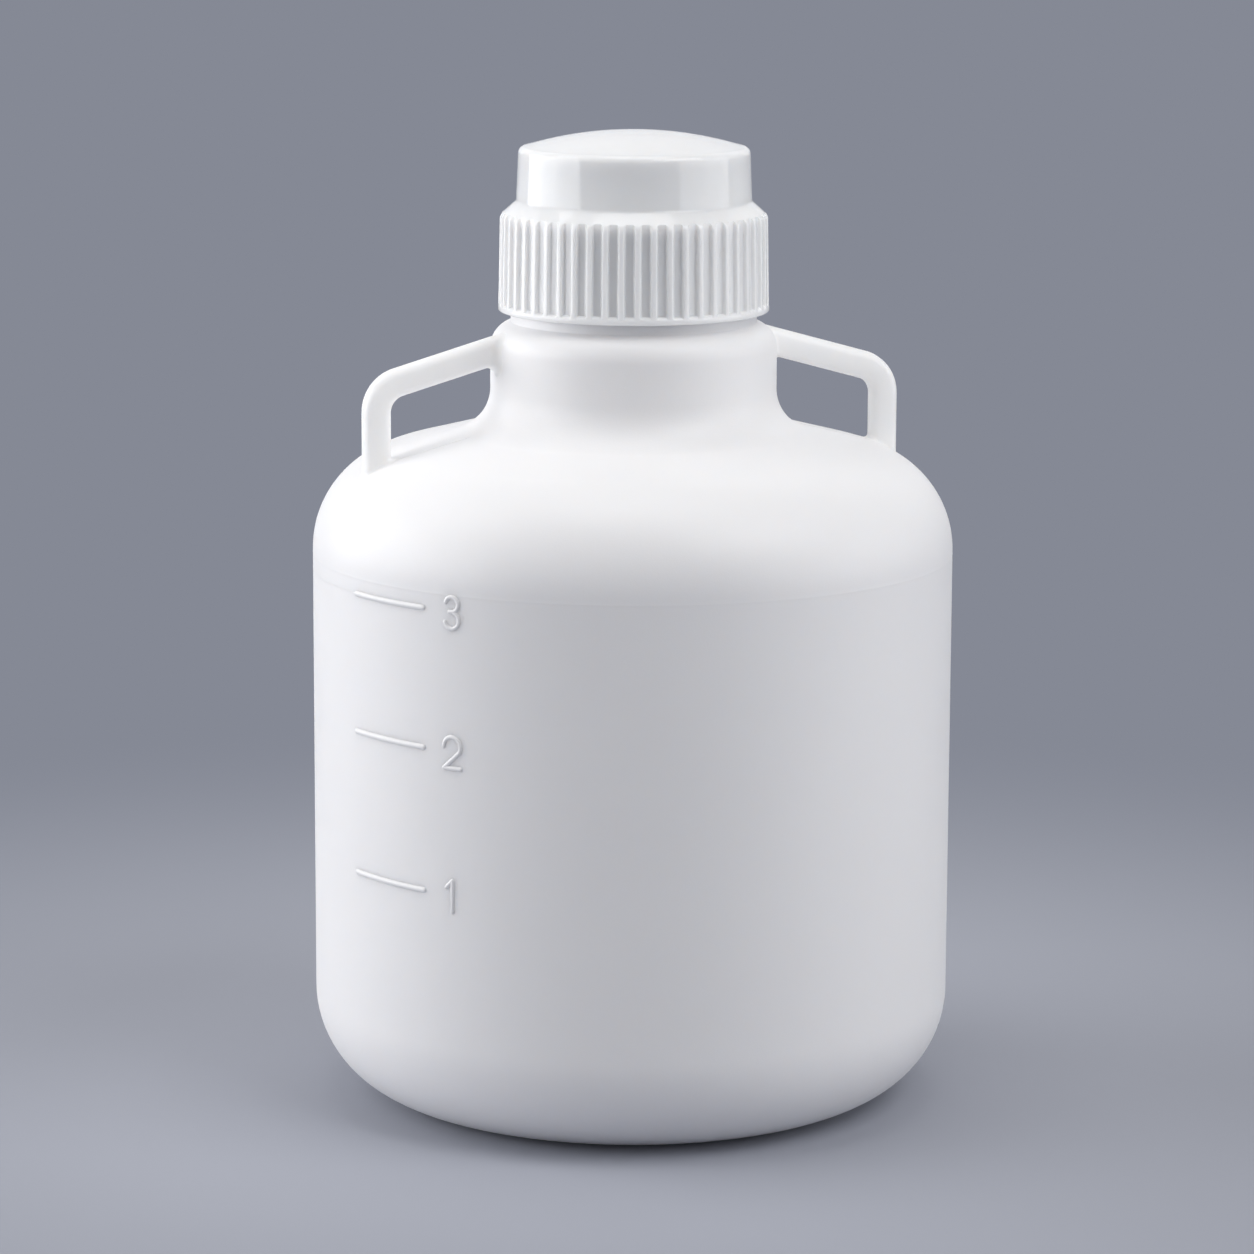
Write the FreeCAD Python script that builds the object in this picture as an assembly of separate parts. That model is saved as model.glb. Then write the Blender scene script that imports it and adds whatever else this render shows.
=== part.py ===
"""A round blow-moulded carboy with two loop handles, litre marks and a ribbed cap.

Millimetres. +Z runs up the bottle's axis, the origin is the middle of the face it
stands on, and the two handles lie along X. The litre marks are on the front (-Y)
side, next to the -X handle. Two pieces: the bottle, moulded in one with its handles,
and the cap that closes it.
"""
import FreeCAD, Part
import math
import os

# Body: a straight round wall between a rounded heel and a rounded shoulder.
BODY_RADIUS = 90.0
HEEL_RADIUS = 30.3
WALL_TOP = 156.4          # height where the wall turns in to the shoulder
SHOULDER_RADIUS = 29.0
SHOULDER_SLOPE = 14.5     # degrees, the shoulder's rise from its bend to the neck
PUSH_UP_RADIUS = 47.0     # the shallow hollow inside the ring it stands on
PUSH_UP_HEIGHT = 2.5
PUSH_UP_SIDE = 5.0        # how far the hollow's side leans in

# Neck: a wide collar with a domed top, and the narrower neck that it carries.
NECK_RADIUS = 34.4
COLLAR_STEP = 5.7         # the collar is this much wider than the neck, all round
COLLAR_FILLET = 12.5      # hollow curve between shoulder and collar
COLLAR_WALL_HEIGHT = 11.36  # straight wall between the hollow curve and the dome
COLLAR_DOME_RADIUS = 7.4
SEAM_HEIGHT = 1.0         # the mould's round joint lies this far below the wall's top
SEAM_PROUD = 0.18
SEAM_WIDTH = 0.7

# Cap: a flange, a ribbed skirt, a stepped crown and a low dome on top.
CAP_GAP = 3.2             # bare neck between the collar's dome and the flange
CAP_CLEARANCE = 0.35      # between the neck and the cap, all round
FLANGE_HEIGHT = 2.1
FLANGE_CHAMFER = 0.5
FLANGE_STEP = 0.1         # the flange stands out this far past the ribs
SKIRT_WALL = 3.05         # from the bore to the outside of the ribs, at the skirt's foot
SKIRT_HEIGHT = 23.3
SKIRT_DRAFT = 1.0         # degrees
SKIRT_EDGE_RADIUS = 2.5
LEDGE_SLOPE = 42.0        # degrees, the sloping ledge from the ribs up to the crown
CROWN_STEP = 4.95         # the crown's foot is this much narrower than the ribs' foot
CROWN_HEIGHT = 13.05
CROWN_DRAFT = 2.2         # degrees
CROWN_EDGE_RADIUS = 2.0
DOME_RISE = 4.43
CAP_CEILING = 2.8         # least thickness of the cap's top
CAP_CROWN_WALL = 2.1
RIB_COUNT = 52
RIB_TOP_WIDTH = 1.45
RIB_FOOT_WIDTH = 1.9
RIB_DEPTH = 1.05
CAP_TURN = 1.0            # degrees, how far the cap happens to be screwed round

# Handles: two flat loops from the collar out and down to the shoulder.
HANDLE_INSET = 11.6       # the upright stands this far inside the body's wall
HANDLE_UPRIGHT_WIDTH = 7.55
HANDLE_BAR_WIDTH = 7.76
HANDLE_THICKNESS = 6.4
HANDLE_DROP = 15.8        # degrees, the bar's fall from the collar outwards
HANDLE_ROOT_RISE = 4.5    # top of the bar's root above the collar's straight wall
HANDLE_CORNER_RADIUS = 11.5
HANDLE_INNER_RADIUS = 5.35
HANDLE_EDGE_RADIUS = 2.2
HANDLE_BLEND_RADIUS = 1.8   # soft hollow where a handle grows out of the bottle
LAND_HEIGHT = 0.7         # low strip on the shoulder under each loop

# Litre marks: short raised lines with a numeral beside each.
MARK_DROPS = {1: 83.1, 2: 43.5, 3: 5.3}  # each mark's distance below the wall's top
MARK_START = 15.2         # degrees round from the -X handle towards the front
MARK_SWEEP = 18.3         # degrees
MARK_WIDTH = 1.4
MARK_PROUD = 0.65
NUMERAL_ANGLE = 39.65     # degrees round from the -X handle to the numeral's middle
NUMERAL_HEIGHT = 10.0
NUMERAL_WIDTH = 6.6
NUMERAL_STROKE = 1.1
NUMERAL_PROUD = 0.55
NUMERAL_RISE = 4.6        # numeral's top above its mark
ONE_FLAG = 0.45           # the flag of the 1, as a share of half the numeral's height
TWO_BOWL_END = -35        # degrees, where the bowl of the 2 runs into its diagonal
THREE_TAIL = 165          # degrees, how far round the tails of the 3 reach
THREE_UPPER = 0.47        # the upper bowl of the 3, as a share of half its height
THREE_WAIST = 0.35        # the short bar of the 3, as a share of its upper bowl

UP = FreeCAD.Vector(0, 0, 1)
AXIS = FreeCAD.Vector(0, 0, 0)
FULL_TURN = 360.0
TINY = 1e-6
NEAR = 1e-3


def point(radius, height):
    """A point of an outline that is turned about Z."""
    return FreeCAD.Vector(radius, 0, height)


def line(start, end):
    return Part.LineSegment(point(*start), point(*end)).toShape()


def arc(centre, radius, from_angle, to_angle):
    """An arc in the X-Z plane, angles in degrees up from +X."""
    def on_arc(degrees):
        turn = math.radians(degrees)
        return point(centre[0] + radius * math.cos(turn), centre[1] + radius * math.sin(turn))
    middle = (from_angle + to_angle) / 2
    return Part.Arc(on_arc(from_angle), on_arc(middle), on_arc(to_angle)).toShape()


def arc_end(centre, radius, degrees):
    turn = math.radians(degrees)
    return (centre[0] + radius * math.cos(turn), centre[1] + radius * math.sin(turn))


def turned(edges):
    """The solid that a closed outline makes when it is turned once round Z."""
    return Part.Face(Part.Wire(edges)).revolve(AXIS, UP, FULL_TURN)


# Heights and centres that follow from the sizes above.
slope = math.tan(math.radians(SHOULDER_SLOPE))
shoulder_centre = (BODY_RADIUS - SHOULDER_RADIUS, WALL_TOP)
shoulder_bend = arc_end(shoulder_centre, SHOULDER_RADIUS, 90 - SHOULDER_SLOPE)


def shoulder_height(radius):
    """Height of the shoulder's straight slope at a radius."""
    return shoulder_bend[1] + (shoulder_bend[0] - radius) * slope


collar_radius = NECK_RADIUS + COLLAR_STEP
fillet_x = collar_radius + COLLAR_FILLET
fillet_centre = (fillet_x,
                 shoulder_height(fillet_x) + COLLAR_FILLET / math.cos(math.radians(SHOULDER_SLOPE)))
collar_wall_top = fillet_centre[1] + COLLAR_WALL_HEIGHT
collar_dome_centre = (collar_radius - COLLAR_DOME_RADIUS, collar_wall_top)
dome_edge_angle = math.degrees(math.acos((NECK_RADIUS - collar_dome_centre[0]) / COLLAR_DOME_RADIUS))
handle_reach = BODY_RADIUS - HANDLE_INSET
neck_foot = arc_end(collar_dome_centre, COLLAR_DOME_RADIUS, dome_edge_angle)

skirt_bore = NECK_RADIUS + CAP_CLEARANCE
skirt_radius = skirt_bore + SKIRT_WALL
flange_radius = skirt_radius + FLANGE_STEP
crown_radius = skirt_radius - CROWN_STEP
flange_bottom = neck_foot[1] + CAP_GAP
skirt_foot = flange_bottom + FLANGE_HEIGHT
skirt_lean = math.tan(math.radians(SKIRT_DRAFT))
skirt_top = skirt_foot + SKIRT_HEIGHT
skirt_top_radius = skirt_radius - SKIRT_HEIGHT * skirt_lean
edge_centre = (skirt_top_radius - SKIRT_EDGE_RADIUS, skirt_top)
edge_end = arc_end(edge_centre, SKIRT_EDGE_RADIUS, 90 - LEDGE_SLOPE)
crown_foot = edge_end[1] + (edge_end[0] - crown_radius) * math.tan(math.radians(LEDGE_SLOPE))
crown_top = crown_foot + CROWN_HEIGHT
crown_top_radius = crown_radius - CROWN_HEIGHT * math.tan(math.radians(CROWN_DRAFT))
dome_foot_radius = crown_top_radius - CROWN_EDGE_RADIUS
dome_foot = crown_top + CROWN_EDGE_RADIUS
cap_top = dome_foot + DOME_RISE

cap_ceiling = dome_foot - CAP_CEILING
crown_bore = crown_top_radius - CAP_CROWN_WALL
skirt_bore_top = skirt_top - CAP_CROWN_WALL / 2


def bottle_body():
    """The bottle without handles: heel, wall, shoulder, collar and neck."""
    heel_centre = (BODY_RADIUS - HEEL_RADIUS, HEEL_RADIUS)
    heel_start = (heel_centre[0], 0)
    wall_start = (BODY_RADIUS, HEEL_RADIUS)
    wall_end = (BODY_RADIUS, WALL_TOP)
    fillet_start = arc_end(fillet_centre, COLLAR_FILLET, 270 - SHOULDER_SLOPE)
    collar_start = (collar_radius, fillet_centre[1])
    collar_end = (collar_radius, collar_wall_top)
    neck_step = skirt_bore_top - CAP_CLEARANCE
    seal_radius = crown_bore - CAP_CLEARANCE
    return turned([
        line((0, PUSH_UP_HEIGHT), (PUSH_UP_RADIUS - PUSH_UP_SIDE, PUSH_UP_HEIGHT)),
        line((PUSH_UP_RADIUS - PUSH_UP_SIDE, PUSH_UP_HEIGHT), (PUSH_UP_RADIUS, 0)),
        line((PUSH_UP_RADIUS, 0), heel_start),
        arc(heel_centre, HEEL_RADIUS, -90, 0),
        line(wall_start, wall_end),
        arc(shoulder_centre, SHOULDER_RADIUS, 0, 90 - SHOULDER_SLOPE),
        line(shoulder_bend, fillet_start),
        arc(fillet_centre, COLLAR_FILLET, 270 - SHOULDER_SLOPE, 180),
        line(collar_start, collar_end),
        arc(collar_dome_centre, COLLAR_DOME_RADIUS, 0, dome_edge_angle),
        line(neck_foot, (NECK_RADIUS, neck_step)),
        line((NECK_RADIUS, neck_step), (seal_radius, neck_step)),
        line((seal_radius, neck_step), (seal_radius, cap_ceiling)),
        line((seal_radius, cap_ceiling), (0, cap_ceiling)),
        line((0, cap_ceiling), (0, PUSH_UP_HEIGHT)),
    ])


def mould_seam():
    """The fine raised line that the mould's round joint leaves on the wall."""
    middle = WALL_TOP - SEAM_HEIGHT
    inside = BODY_RADIUS - SEAM_PROUD
    return turned([
        line((inside, middle - SEAM_WIDTH / 2), (BODY_RADIUS + SEAM_PROUD, middle)),
        line((BODY_RADIUS + SEAM_PROUD, middle), (inside, middle + SEAM_WIDTH / 2)),
        line((inside, middle + SEAM_WIDTH / 2), (inside, middle - SEAM_WIDTH / 2)),
    ])


def plate(edges, thickness):
    """A flat plate that stands in the X-Z plane, half its thickness to each side."""
    face = Part.Face(Part.Wire(edges))
    face.translate(FreeCAD.Vector(0, -thickness / 2, 0))
    return face.extrude(FreeCAD.Vector(0, thickness, 0))


def handle_loop():
    """The +X handle: a bar that falls outwards, a round corner and an upright."""
    drop = math.tan(math.radians(HANDLE_DROP))
    bar_depth = HANDLE_BAR_WIDTH / math.cos(math.radians(HANDLE_DROP))
    inner_reach = handle_reach - HANDLE_UPRIGHT_WIDTH
    root_height = collar_wall_top + HANDLE_ROOT_RISE
    buried = collar_radius - COLLAR_DOME_RADIUS
    foot = WALL_TOP - HANDLE_UPRIGHT_WIDTH

    def bar_top(x):
        return root_height - (x - collar_radius) * drop

    def corner(reach, lower_by, radius):
        """Centre of the round that joins the bar's line to the upright's line."""
        x = reach - radius
        return (x, bar_top(x) - lower_by - radius / math.cos(math.radians(HANDLE_DROP)))

    outer = corner(handle_reach, 0, HANDLE_CORNER_RADIUS)
    inner = corner(inner_reach, bar_depth, HANDLE_INNER_RADIUS)
    bar_angle = 90 - HANDLE_DROP
    outer_start = arc_end(outer, HANDLE_CORNER_RADIUS, bar_angle)
    inner_start = arc_end(inner, HANDLE_INNER_RADIUS, bar_angle)
    loop = plate([
        line((buried, bar_top(buried)), outer_start),
        arc(outer, HANDLE_CORNER_RADIUS, bar_angle, 0),
        line((handle_reach, outer[1]), (handle_reach, foot)),
        line((handle_reach, foot), (inner_reach, foot)),
        line((inner_reach, foot), (inner_reach, inner[1])),
        arc(inner, HANDLE_INNER_RADIUS, 0, bar_angle),
        line(inner_start, (buried, bar_top(buried) - bar_depth)),
        line((buried, bar_top(buried) - bar_depth), (buried, bar_top(buried))),
    ], HANDLE_THICKNESS)
    long_edges = []
    for edge in loop.Edges:
        box = edge.BoundBox
        runs_lengthwise = box.YLength < TINY
        at_an_end = box.ZMax < foot + TINY or box.XMax < buried + TINY
        if runs_lengthwise and not at_an_end:
            long_edges.append(edge)
    return loop.makeFillet(HANDLE_EDGE_RADIUS, long_edges)


def handle_land():
    """The low strip on the shoulder under the +X handle, from the collar to the upright."""
    buried = collar_radius - COLLAR_DOME_RADIUS
    foot = WALL_TOP - HANDLE_UPRIGHT_WIDTH
    land_top = LAND_HEIGHT / math.cos(math.radians(SHOULDER_SLOPE))
    middle_of_upright = handle_reach - HANDLE_UPRIGHT_WIDTH / 2
    land_bend = arc_end(shoulder_centre, SHOULDER_RADIUS + LAND_HEIGHT, 90 - SHOULDER_SLOPE)
    land_angle = math.degrees(math.acos(
        (middle_of_upright - shoulder_centre[0]) / (SHOULDER_RADIUS + LAND_HEIGHT)))
    land_end = arc_end(shoulder_centre, SHOULDER_RADIUS + LAND_HEIGHT, land_angle)
    land_start = (fillet_x, shoulder_height(fillet_x) + land_top)
    return plate([
        line(land_start, land_bend),
        arc(shoulder_centre, SHOULDER_RADIUS + LAND_HEIGHT, 90 - SHOULDER_SLOPE, land_angle),
        line(land_end, (middle_of_upright, foot)),
        line((middle_of_upright, foot), (buried, foot)),
        line((buried, foot), (buried, land_start[1])),
        line((buried, land_start[1]), land_start),
    ], HANDLE_THICKNESS)


def opposite(shape):
    """A copy for the -X side."""
    copy = shape.copy()
    copy.rotate(AXIS, UP, FULL_TURN / 2)
    return copy


def with_handles(body):
    """The body with both handles grown out of it, their roots and feet blended in."""
    loop = handle_loop()
    joined = body.multiFuse([loop, opposite(loop)]).removeSplitter()
    seams = []
    for edge in joined.Edges:
        spots = [Part.Vertex(spot) for spot in edge.discretize(3)]
        middle = edge.CenterOfMass
        near_a_handle = abs(middle.y) < HANDLE_THICKNESS and abs(middle.x) > NECK_RADIUS
        if not near_a_handle or middle.z < WALL_TOP:
            continue
        side = loop if middle.x > 0 else opposite(loop)
        if all(max(spot.distToShape(body)[0], spot.distToShape(side)[0]) < NEAR for spot in spots):
            seams.append(edge)
    return joined.makeFillet(HANDLE_BLEND_RADIUS, seams)


def round_the_axis(shape, degrees):
    """A copy turned about Z from the -X handle towards the front."""
    copy = shape.copy()
    copy.rotate(AXIS, UP, 180 + degrees)
    return copy


def litre_mark(height):
    """A raised line with round ends, half sunk in the wall."""
    bead_radius = MARK_WIDTH / 2
    bead_centre = BODY_RADIUS + MARK_PROUD - bead_radius
    section = Part.Wire(Part.makeCircle(
        bead_radius, point(bead_centre, height), FreeCAD.Vector(0, 1, 0)))
    bead = Part.Face(section).revolve(AXIS, UP, MARK_SWEEP)
    start = Part.makeSphere(bead_radius, point(bead_centre, height))
    end = start.copy()
    end.rotate(AXIS, UP, MARK_SWEEP)
    return round_the_axis(bead.multiFuse([start, end]), MARK_START)


def numeral_strokes(number):
    """Centre lines of a numeral that is NUMERAL_WIDTH by NUMERAL_HEIGHT over its strokes."""
    half = (NUMERAL_WIDTH - NUMERAL_STROKE) / 2
    top = (NUMERAL_HEIGHT - NUMERAL_STROKE) / 2
    if number == 1:
        flag = ONE_FLAG * top
        return [[line((0, -top), (0, top)), line((0, top), (-flag, top - flag))]]
    if number == 2:
        bowl = (0, top - half)
        return [[arc(bowl, half, 180, TWO_BOWL_END),
                 line(arc_end(bowl, half, TWO_BOWL_END), (-half, -top)),
                 line((-half, -top), (half, -top))]]
    upper = THREE_UPPER * top
    lower = top - upper
    upper_centre = (0, top - upper)
    lower_centre = (0, lower - top)
    waist = top - 2 * upper
    return [[arc(upper_centre, upper, THREE_TAIL, -90), line((0, waist), (-THREE_WAIST * upper, waist))],
            [arc(lower_centre, lower, 90, -THREE_TAIL)]]


def numeral(number, mark_height):
    """A raised numeral that follows the wall's curve."""
    skin = 2 * NUMERAL_PROUD
    strokes = []
    for edges in numeral_strokes(number):
        outline = Part.Wire(edges).makeOffset2D(NUMERAL_STROKE / 2)
        face = Part.Face(outline)
        strokes.append(face.extrude(FreeCAD.Vector(0, -2 * skin, 0)))
    block = strokes[0]
    if len(strokes) > 1:
        block = block.multiFuse(strokes[1:])
    middle = mark_height + NUMERAL_RISE - NUMERAL_HEIGHT / 2
    block.translate(FreeCAD.Vector(0, skin - BODY_RADIUS, middle))
    outside = Part.makeCylinder(BODY_RADIUS + NUMERAL_PROUD, 2 * NUMERAL_HEIGHT,
                                FreeCAD.Vector(0, 0, middle - NUMERAL_HEIGHT))
    block = block.common(outside)
    quarter_turn = 90
    block.rotate(AXIS, UP, NUMERAL_ANGLE - quarter_turn)
    return block


def bottle():
    land = handle_land()
    raised = [mould_seam(), land, opposite(land)]
    for number, drop in MARK_DROPS.items():
        height = WALL_TOP - drop
        raised.append(litre_mark(height))
        raised.append(numeral(number, height))
    return with_handles(bottle_body()).multiFuse(raised).removeSplitter()


def cap_blank():
    """The cap before its grooves are cut: flange, skirt, crown and dome over a stepped bore."""
    dome_radius = (dome_foot_radius ** 2 + DOME_RISE ** 2) / (2 * DOME_RISE)
    dome_centre = (0, cap_top - dome_radius)
    dome_angle = math.degrees(math.acos(dome_foot_radius / dome_radius))
    crown_edge = (dome_foot_radius, crown_top)
    return turned([
        line((skirt_bore, flange_bottom), (flange_radius, flange_bottom)),
        line((flange_radius, flange_bottom), (flange_radius, skirt_foot - FLANGE_CHAMFER)),
        line((flange_radius, skirt_foot - FLANGE_CHAMFER), (skirt_radius, skirt_foot)),
        line((skirt_radius, skirt_foot), (skirt_top_radius, skirt_top)),
        arc(edge_centre, SKIRT_EDGE_RADIUS, 0, 90 - LEDGE_SLOPE),
        line(edge_end, (crown_radius, crown_foot)),
        line((crown_radius, crown_foot), (crown_top_radius, crown_top)),
        arc(crown_edge, CROWN_EDGE_RADIUS, 0, 90),
        arc(dome_centre, dome_radius, dome_angle, 90),
        line((0, cap_top), (0, cap_ceiling)),
        line((0, cap_ceiling), (crown_bore, cap_ceiling)),
        line((crown_bore, cap_ceiling), (crown_bore, skirt_bore_top)),
        line((crown_bore, skirt_bore_top), (skirt_bore, skirt_bore_top)),
        line((skirt_bore, skirt_bore_top), (skirt_bore, flange_bottom)),
    ])


def groove():
    """One groove between two ribs, open at the mouth and out through the skirt's round edge."""
    def section(height):
        outside = skirt_radius - (height - skirt_foot) * skirt_lean
        floor = outside - RIB_DEPTH
        half_pitch = math.pi / RIB_COUNT
        floor_half = floor * half_pitch - RIB_FOOT_WIDTH / 2
        mouth_half = outside * half_pitch - RIB_TOP_WIDTH / 2
        beyond = outside + RIB_DEPTH
        beyond_half = 2 * mouth_half - floor_half
        corners = [(floor, -floor_half), (beyond, -beyond_half), (beyond, beyond_half), (floor, floor_half)]
        points = [FreeCAD.Vector(x, y, height) for x, y in corners]
        return Part.makePolygon(points + points[:1])

    well_past = skirt_top + 2 * SKIRT_EDGE_RADIUS
    return Part.makeLoft([section(skirt_foot), section(well_past)], True, True)


def cap():
    cutter = groove()
    grooves = []
    for index in range(RIB_COUNT):
        one = cutter.copy()
        one.rotate(AXIS, UP, CAP_TURN + index * FULL_TURN / RIB_COUNT)
        grooves.append(one)
    return cap_blank().cut(Part.makeCompound(grooves))


os.makedirs("parts", exist_ok=True)
for name, make in {"bottle": bottle, "cap": cap}.items():
    shape = make()
    if len(shape.Solids) != 1 or not shape.isValid():
        raise SystemExit(name + " is not one sound solid")
    shape.Solids[0].exportStep("parts/" + name + ".step")
    print(name, round(shape.Volume / 1000, 1), "cm3", shape.BoundBox)
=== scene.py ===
import math

import bmesh
import bpy
from mathutils import Matrix, Vector
from mathutils.bvhtree import BVHTree


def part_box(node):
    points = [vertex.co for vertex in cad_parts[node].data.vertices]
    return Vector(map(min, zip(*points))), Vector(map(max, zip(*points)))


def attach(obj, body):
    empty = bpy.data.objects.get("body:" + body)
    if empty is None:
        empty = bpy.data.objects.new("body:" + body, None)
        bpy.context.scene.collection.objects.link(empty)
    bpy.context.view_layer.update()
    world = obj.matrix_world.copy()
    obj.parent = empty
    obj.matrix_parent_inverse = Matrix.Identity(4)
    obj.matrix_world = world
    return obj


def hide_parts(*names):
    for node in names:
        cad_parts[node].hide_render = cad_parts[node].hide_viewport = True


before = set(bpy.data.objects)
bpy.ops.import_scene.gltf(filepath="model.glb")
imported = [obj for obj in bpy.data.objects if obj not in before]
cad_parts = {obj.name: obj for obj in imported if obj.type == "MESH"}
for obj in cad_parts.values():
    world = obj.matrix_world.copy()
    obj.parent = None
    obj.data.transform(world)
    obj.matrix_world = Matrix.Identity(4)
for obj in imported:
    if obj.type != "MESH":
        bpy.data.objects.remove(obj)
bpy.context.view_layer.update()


# The bottle's body. White polyethylene, blown in one piece: a round heel, a straight wall,
# a sloping shoulder, a collar with a round lip and the neck that the cap is screwed onto.
# The mould's round joint leaves a fine raised line where the shoulder starts.
BODY_RADIUS = 0.090
HEEL_RADIUS = 0.0303
PUSH_UP = ((0.0420, 0.0025), (0.0464, 0.0004), (0.0472, 0.0))  # the hollow's (radius, height)
WALL_RINGS = (0.060, 0.090, 0.120)  # heights of plain rings that keep the wall's faces short
SEAM_HEIGHT = 0.1554
SEAM_PROUD = 0.00003
SEAM_HALF_WIDTH = 0.00028
SEAM_PROFILE = ((-1, 0), (-0.4, 0.7), (0, 1), (0.4, 0.7), (1, 0))  # as shares, (up, out)
RING_UNDER_SEAM = 0.0009
SHOULDER_CENTRE = (0.0610, 0.1564)
SHOULDER_RADIUS = 0.0290
SHOULDER_SLOPE = 14.5  # degrees
COLLAR_FILLET_CENTRE = (0.0526, 0.20144)
COLLAR_FILLET = 0.0125
COLLAR_LIP_CENTRE = (0.0327, 0.2128)
COLLAR_LIP = 0.0074
LIP_STOPS_SHORT = 4  # degrees, for a soft hollow where the neck starts
NECK_RADIUS = 0.0344
NECK_ROOT = 0.2204
NECK_ROOT_ROUND = 0.0002
NECK_STEP = 0.2472
SPOUT_RADIUS = 0.0299
SPOUT_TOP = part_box("bottle")[1][2]
SIDES = 256
SHADE_SIZE = 0.045  # how broad the plastic's faint changes of shade are
SHEEN_SIZE = 0.012  # how broad its changes of roughness are


def arc(centre, radius, from_angle, to_angle, steps):
    """Points of an outline along an arc, its angles in degrees up from straight out."""
    points = []
    for step in range(steps + 1):
        turn = math.radians(from_angle + (to_angle - from_angle) * step / steps)
        points.append((centre[0] + radius * math.cos(turn), centre[1] + radius * math.sin(turn)))
    return points


def start_piece(name):
    """Names the part that has just been added and opens it with all of it selected."""
    piece = bpy.context.object
    piece.name = name
    piece.data.name = name
    bpy.ops.object.mode_set(mode="EDIT")
    bpy.ops.mesh.select_mode(type="FACE")
    bpy.ops.mesh.select_all(action="SELECT")
    return piece


def close_piece(smooth_up_to):
    """Turns the faces outwards and smooths every edge flatter than an angle in degrees."""
    bpy.ops.mesh.select_all(action="SELECT")
    bpy.ops.mesh.normals_make_consistent(inside=False)
    bpy.ops.object.mode_set(mode="OBJECT")
    bpy.ops.object.shade_smooth_by_angle(angle=math.radians(smooth_up_to))


def turn_up(name, outline):
    """Pulls a disc through an outline of (radius, height) points into a closed round body."""
    bpy.ops.object.select_all(action="DESELECT")
    (radius, height) = outline[0]
    bpy.ops.mesh.primitive_circle_add(vertices=SIDES, radius=radius, fill_type="NGON")
    piece = start_piece(name)
    bpy.ops.transform.translate(value=(0, 0, height))
    for (next_radius, next_height) in outline[1:]:
        rise = (0, 0, next_height - height)
        bpy.ops.mesh.extrude_region_move(TRANSFORM_OT_translate={"value": rise})
        grow = next_radius / radius
        bpy.ops.transform.resize(value=(grow, grow, 1), center_override=(0, 0, 0))
        (radius, height) = (next_radius, next_height)
    return piece


def plastic(
        name, white, shade, roughness, grain, grain_size, ripple, ripple_size, glow, glow_depth):
    """A moulded plastic: a faint change of shade, a fine grain and a slow ripple in its skin."""
    material = bpy.data.materials.new(name)
    material.use_nodes = True
    nodes = material.node_tree.nodes
    links = material.node_tree.links
    skin = nodes["Principled BSDF"]
    skin.inputs["Subsurface Weight"].default_value = glow
    skin.inputs["Subsurface Radius"].default_value = (1.0, 0.95, 0.9)
    skin.inputs["Subsurface Scale"].default_value = glow_depth
    skin.inputs["IOR"].default_value = 1.5
    place = nodes.new("ShaderNodeTexCoord")

    def noise(size, detail):
        """Soft clouds of this size all through the piece."""
        cloud = nodes.new("ShaderNodeTexNoise")
        cloud.inputs["Scale"].default_value = 1 / size
        cloud.inputs["Detail"].default_value = detail
        links.new(place.outputs["Object"], cloud.inputs["Vector"])
        return cloud.outputs["Fac"]

    def spread(factor, low, high):
        """The noise's middle stretch, spread out between two values."""
        scale = nodes.new("ShaderNodeMapRange")
        scale.inputs["From Min"].default_value = 0.3
        scale.inputs["From Max"].default_value = 0.7
        scale.inputs["To Min"].default_value = low
        scale.inputs["To Max"].default_value = high
        links.new(factor, scale.inputs["Value"])
        return scale.outputs["Result"]

    tone = nodes.new("ShaderNodeMix")
    tone.data_type = "RGBA"
    tone.inputs["A"].default_value = (*shade, 1)
    tone.inputs["B"].default_value = (*white, 1)
    links.new(spread(noise(SHADE_SIZE, detail=3), 0, 1), tone.inputs["Factor"])
    links.new(tone.outputs["Result"], skin.inputs["Base Color"])
    links.new(spread(noise(SHEEN_SIZE, detail=4), *roughness), skin.inputs["Roughness"])

    slow = nodes.new("ShaderNodeBump")
    slow.inputs["Distance"].default_value = ripple
    links.new(noise(ripple_size, detail=1), slow.inputs["Height"])
    fine = nodes.new("ShaderNodeBump")
    fine.inputs["Distance"].default_value = grain
    links.new(noise(grain_size, detail=2), fine.inputs["Height"])
    links.new(slow.outputs["Normal"], fine.inputs["Normal"])
    links.new(fine.outputs["Normal"], skin.inputs["Normal"])
    return material


seam = [
    (BODY_RADIUS + out * SEAM_PROUD, SEAM_HEIGHT + up * SEAM_HALF_WIDTH)
    for (up, out) in SEAM_PROFILE]
lip_to_neck = math.degrees(math.acos((NECK_RADIUS - COLLAR_LIP_CENTRE[0]) / COLLAR_LIP))
body_outline = [
    *PUSH_UP,
    *arc((BODY_RADIUS - HEEL_RADIUS, HEEL_RADIUS), HEEL_RADIUS, -90, 0, steps=22),
    *[(BODY_RADIUS, height) for height in WALL_RINGS],
    (BODY_RADIUS, SEAM_HEIGHT - RING_UNDER_SEAM),
    *seam,
    *arc(SHOULDER_CENTRE, SHOULDER_RADIUS, 0, 90 - SHOULDER_SLOPE, steps=24),
    *arc(COLLAR_FILLET_CENTRE, COLLAR_FILLET, 270 - SHOULDER_SLOPE, 180, steps=16),
    *arc(COLLAR_LIP_CENTRE, COLLAR_LIP, 0, lip_to_neck - LIP_STOPS_SHORT, steps=14),
    (NECK_RADIUS + NECK_ROOT_ROUND / 2, NECK_ROOT - NECK_ROOT_ROUND),
    (NECK_RADIUS, NECK_ROOT + NECK_ROOT_ROUND),
    (NECK_RADIUS, NECK_STEP),
    (SPOUT_RADIUS, NECK_STEP),
    (SPOUT_RADIUS, SPOUT_TOP),
]
body = turn_up("bottle_body", body_outline)
close_piece(smooth_up_to=30)

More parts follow.
